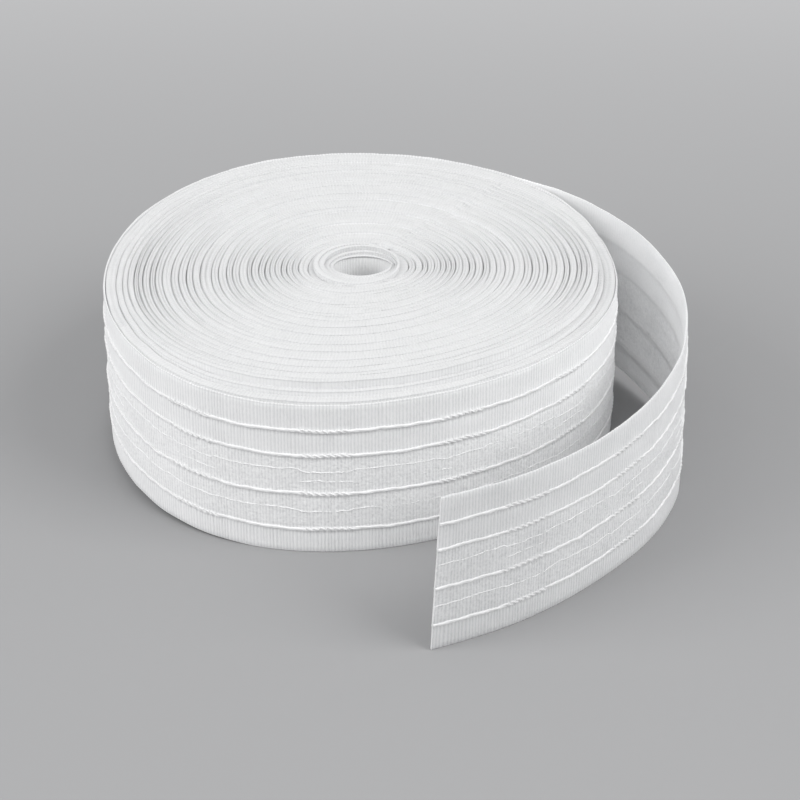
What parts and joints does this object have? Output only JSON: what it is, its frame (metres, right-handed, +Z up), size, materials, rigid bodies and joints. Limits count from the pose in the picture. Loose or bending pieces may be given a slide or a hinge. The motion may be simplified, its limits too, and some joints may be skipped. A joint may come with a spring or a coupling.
{
  "type": "roll of curtain heading tape",
  "caption": "Flat roll of white woven curtain heading tape with draw cords along it, wound round a small hole, its loose end standing on edge and curving round to the front.",
  "frame": {"origin": "middle of the whole piece's base, on the surface it lies on", "axes": "+Z up along the roll's axis, +Y towards the back of the roll, +X towards the side where the loose end swings out"},
  "size_m": [0.2684, 0.3032, 0.0836],
  "materials": {
    "tape_roll": "matt white woven polyester tape, wound",
    "tape_sheet": "matt white woven polyester tape, slightly sheer"
  },
  "bodies": {
    "root": {"wound_roll": "tape_roll", "loose_end": "tape_sheet"}
  },
  "joints": []
}
